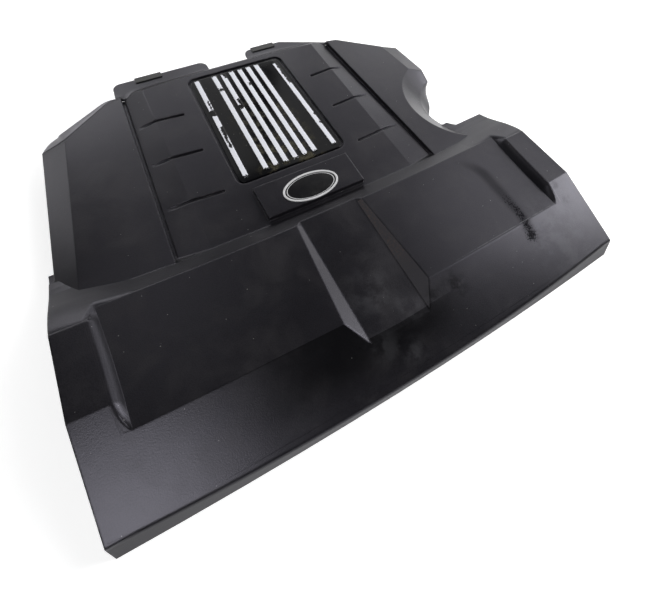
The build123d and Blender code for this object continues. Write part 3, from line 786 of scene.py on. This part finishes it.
def notch_flange():
    """Sloping flange at the foot of the round notch. Its upper edge is an arc of the notch's wall at the
    funnel's foot, tucked into the wall. Its lower edge, near the floor, lies inside that arc by a power of
    a sine of the way along it, so the flange closes on the wall at both ends."""
    first_turn = 108
    arc = 80
    greatest_width = 0.0200
    power = 0.9
    fall = 0.0164
    tuck = 0.06
    tuck_out = 0.0015
    tuck_up = 0.0010
    along = np.linspace(0, 1, 64)[None, :]
    down = np.linspace(-tuck, 1, 14)[:, None]
    turn = np.radians(first_turn + arc * along)
    tucked = np.minimum(down, 0) / tuck
    inward = greatest_width * np.sin(np.pi * along) ** power * np.maximum(down, 0)
    radius = NOTCH_RADIUS - inward - tuck_out * tucked
    height = NOTCH_FOOT - fall * np.maximum(down, 0) - tuck_up * tucked
    across = NOTCH_CENTRE[0] + radius * np.cos(turn)
    behind = NOTCH_CENTRE[1] + radius * np.sin(turn)
    places = np.stack([across, behind, np.broadcast_to(height, across.shape)], axis=-1)
    fitted_surface("notch_flange", places)


def rounded(line):
    """Line of numbers with its corners rounded by a moving average. Its ends stay."""
    reach = 7
    padded = np.pad(line, reach, mode="reflect", reflect_type="odd")
    return np.convolve(padded, np.ones(2 * reach + 1) / (2 * reach + 1), "valid")


def wing_roll():
    """Rolled rear edge of the left wing: a profile carried along the wing's rear outline. The profile
    starts just inside the wing's top, falls with the way out and its square, then drops as a short skirt
    and turns back in to the wall. Its width grows from almost nothing at the side corner, and shrinks again
    before the groove."""
    first_fall = 0.06
    bend = 0.16
    start_tuck = 0.12
    start_sink = 0.0006
    skirt = 0.0120
    end_tuck = 0.05
    end_sink = 0.0122
    across = np.linspace(WING_ACROSS[0], WING_ACROSS[-1], 121)
    station = rounded(np.interp(across, WING_ACROSS, WING_STATIONS))
    top = rounded(np.interp(across, WING_ACROSS, WING_TOPS))
    width = rounded(np.interp(across, WING_ACROSS, ROLL_WIDTHS))
    heading = np.stack([np.gradient(across), np.gradient(station)], axis=-1)
    heading = heading / np.linalg.norm(heading, axis=-1, keepdims=True)
    way = np.concatenate([[-start_tuck], np.linspace(0, 1, 12), np.ones(4), [-end_tuck]])
    fall = first_fall * np.maximum(way, 0) + bend * np.maximum(way, 0) ** 2
    drop = np.concatenate([[start_sink], np.zeros(12), skirt * np.linspace(0.25, 1, 4), [end_sink]])
    out = width[:, None] * way
    height = top[:, None] + PROUD - width[:, None] * fall - drop
    across = across[:, None] - heading[:, 1:] * out
    station = station[:, None] + heading[:, :1] * out
    fitted_surface("wing_roll_left", on_deck(across, station, height))


def tab_fillet(name, side, shoulder):
    """Soft fillet from the deck's crowned rear edge on to a tab. It starts at the edge's own height, which
    dips at the groove. Above the tab, its height is that times the fourth power of the way left to its
    rear. Its outer end follows the tab's, which closes in evenly with the depth."""
    first_depth = 0.0020
    depth = 0.0220
    share = np.linspace(0, 1, 40)[:, None]
    way = np.linspace(0, 1, 24)[None, :]
    outer = TAB_OUTER - shoulder * (first_depth + depth * way) / TAB_DEPTH
    across = TAB_INNER + (outer - TAB_INNER) * share
    edge = REAR_EDGE - REAR_CROWN * across**2
    station = edge + (TAB_FILLET_REAR - edge) * way
    step = np.interp(across, REAR_STEP_ACROSS, REAR_STEP)
    height = TAB_TOP + PROUD + step * (1 - way) ** 4
    fitted_surface(name, facing_up(on_deck(side * across, station, height), side))


lip_bead()
notch_flange()
wing_roll()
tab_fillet("tab_fillet_left", -1, TAB_SHOULDERS[0])
tab_fillet("tab_fillet_right", 1, TAB_SHOULDERS[1])
recess_end("recess_end_left", -1)
recess_end("recess_end_right", 1)
band_end("band_end_left", -1)
band_end("band_end_right", 1)


# Floor: half its side, and the share of white that it shows to the camera and in reflections, besides the
# light that falls on it
FLOOR_HALF = 4.0
FLOOR_GLOW = 0.5


def pale_floor():
    """Flat pale floor under the cover, a square in the plane Z = 0."""
    corners = np.array([(-1, -1, 0), (1, -1, 0), (1, 1, 0), (-1, 1, 0)]) * FLOOR_HALF
    mesh = bpy.data.meshes.new("floor")
    mesh.from_pydata(corners.tolist(), [], [(0, 1, 2, 3)])
    floor = bpy.data.objects.new("floor", mesh)
    bpy.context.scene.collection.objects.link(floor)
    material, wires, shader = new_material("pale_floor")
    tone = wires.noise(wires.place(), 3.0, 2.0)
    wires.put(shader["Base Color"], wires.mix(tone, (0.90, 0.90, 0.90, 1), (0.93, 0.93, 0.93, 1)))
    wires.put(shader["Roughness"], 0.9)
    rays = wires.add("ShaderNodeLightPath").outputs
    seen = wires.most(rays["Is Camera Ray"], rays["Is Glossy Ray"], rays["Is Transmission Ray"])
    glow = wires.add("ShaderNodeEmission")
    wires.put(glow.inputs["Strength"], wires.times(seen, FLOOR_GLOW))
    both = wires.add("ShaderNodeAddShader")
    wires.put(both.inputs[0], material.node_tree.nodes["Principled BSDF"].outputs[0])
    wires.put(both.inputs[1], glow.outputs[0])
    wires.put(material.node_tree.nodes["Material Output"].inputs["Surface"], both.outputs[0])
    mesh.materials.append(material)


def camera_axes():
    """The camera's right, up and back directions from heading, drop and roll in degrees."""
    heading, drop, roll = (math.radians(angle) for angle in (CAMERA_HEADING, CAMERA_DROP, CAMERA_ROLL))
    level = Vector((math.cos(heading), math.sin(heading), 0))
    forward = Vector((-math.sin(heading), math.cos(heading), 0))
    ahead = forward * math.cos(drop) - Vector((0, 0, math.sin(drop)))
    below = ahead.cross(level)
    right = level * math.cos(roll) + below * math.sin(roll)
    down = below * math.cos(roll) - level * math.sin(roll)
    return right, -down, -ahead


def photo_camera():
    """Camera with the photograph's place, turn, lens and framing."""
    data = bpy.data.cameras.new("photo_camera")
    data.sensor_width = SENSOR
    data.lens = FOCAL_PIXELS * SENSOR / IMAGE_WIDTH
    data.shift_x = (IMAGE_WIDTH / 2 - OPTICAL_CENTRE[0]) / IMAGE_WIDTH
    data.shift_y = (OPTICAL_CENTRE[1] - IMAGE_HEIGHT / 2) / IMAGE_WIDTH
    data.clip_start = 0.01
    camera = bpy.data.objects.new("photo_camera", data)
    bpy.context.scene.collection.objects.link(camera)
    camera.matrix_world = Matrix.Translation(CAMERA_PLACE) @ Matrix(camera_axes()).transposed().to_4x4()
    bpy.context.scene.camera = camera


# Soft boxes: heading from +Y towards +X, height angle and brightness of the face
BOX_DISTANCE = 1.7
BOX_SIZE = 0.62
SOFT_BOXES = {
    "rear_left_low": (320.0, 13.0, 1.93),
    "rear_middle_left": (345.0, 26.0, 3.22),
    "rear_left_top": (330.0, 62.0, 0.64),
    "rear_high": (0.0, 44.0, 0.78),
    "rear_middle_right": (15.0, 26.0, 2.86),
    "rear_right_high": (36.0, 44.0, 0.76),
    "rear_right_low": (38.0, 13.0, 1.22),
    "rear_right": (45.0, 26.0, 1.48),
    "right_low_rear": (63.0, 13.0, 2.17),
    "right_high_rear": (72.0, 44.0, 2.29),
    "right_low": (89.0, 13.0, 2.34),
    "right_key": (105.0, 26.0, 9.14),
    "right_high": (108.0, 44.0, 5.38),
    "front_left": (216.0, 44.0, 7.79),
}


def soft_box(name, heading, height, brightness):
    """Square area lamp that faces the cover. Its power is pi times face area times brightness."""
    lamp = bpy.data.lights.new(name, "AREA")
    lamp.size = BOX_SIZE
    lamp.energy = math.pi * BOX_SIZE * BOX_SIZE * brightness
    turn, lift = math.radians(heading), math.radians(height)
    toward = Vector((math.sin(turn) * math.cos(lift), math.cos(turn) * math.cos(lift), math.sin(lift)))
    holder = bpy.data.objects.new(name, lamp)
    bpy.context.scene.collection.objects.link(holder)
    holder.location = toward * BOX_DISTANCE
    holder.rotation_euler = toward.to_track_quat("Z", "Y").to_euler()


def studio_light():
    """Even dim surroundings and the soft boxes."""
    world = bpy.data.worlds.new("studio")
    world.use_nodes = True
    background = world.node_tree.nodes["Background"].inputs
    background["Color"].default_value = (0.95, 0.97, 1.0, 1)
    background["Strength"].default_value = 0.03
    bpy.context.scene.world = world
    for name, settings in SOFT_BOXES.items():
        soft_box(name, *settings)


pale_floor()
photo_camera()
studio_light()
bpy.context.scene.view_settings.view_transform = "Standard"
